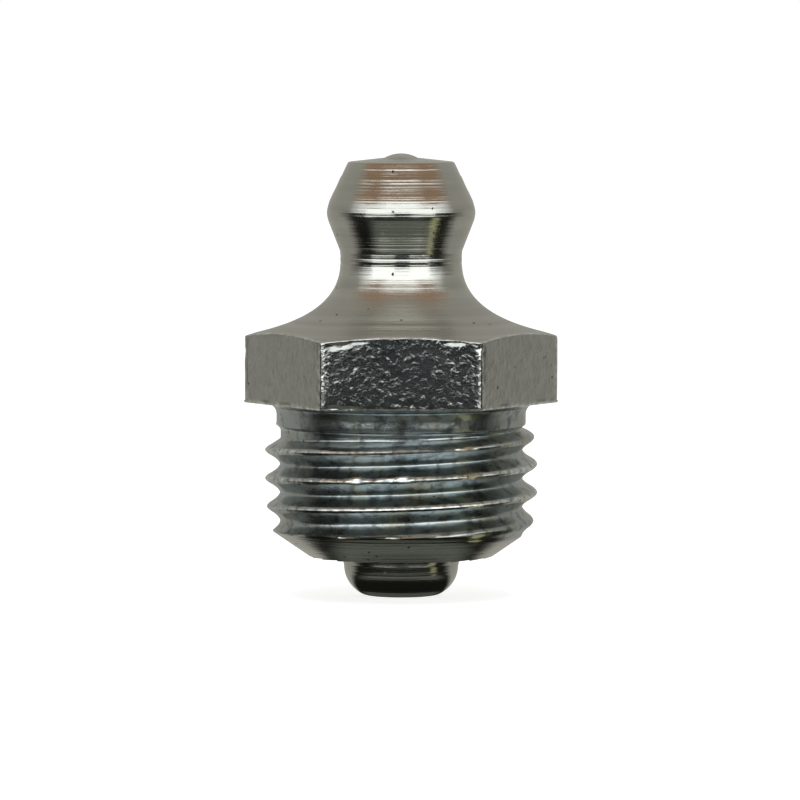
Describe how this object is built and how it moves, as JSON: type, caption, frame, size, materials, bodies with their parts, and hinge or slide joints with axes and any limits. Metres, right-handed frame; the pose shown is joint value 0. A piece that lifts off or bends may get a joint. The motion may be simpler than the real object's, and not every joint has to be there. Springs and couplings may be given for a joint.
{
  "type": "grease nipple",
  "caption": "Straight grease nipple in zinc-plated steel, with a 12 mm hexagon, M12 x 1.25 thread, coupler head and ball check valve.",
  "frame": {"origin": "on the axis at the seat, the hexagon's underside, which lands on the machine's face", "axes": "+Z out of the head along the axis, the thread and tail run to -Z, and a flat of the hexagon faces -Y"},
  "size_m": [0.0138, 0.012, 0.0194],
  "materials": {
    "zinc_plated_steel": "satin",
    "ball_steel": "polished",
    "spring_steel": "satin"
  },
  "bodies": {
    "body": {"nipple_body": "zinc_plated_steel", "spring": "spring_steel"},
    "ball": {"check_ball": "ball_steel"}
  },
  "joints": [
    {"name": "ball_travel", "type": "slide", "parent": "body", "child": "ball", "axis": [0, 0, -1], "range_m": [0, 0.002], "stiffness_N_per_m": 1840, "springref_m": -0.001, "deforming": ["spring"]}
  ]
}
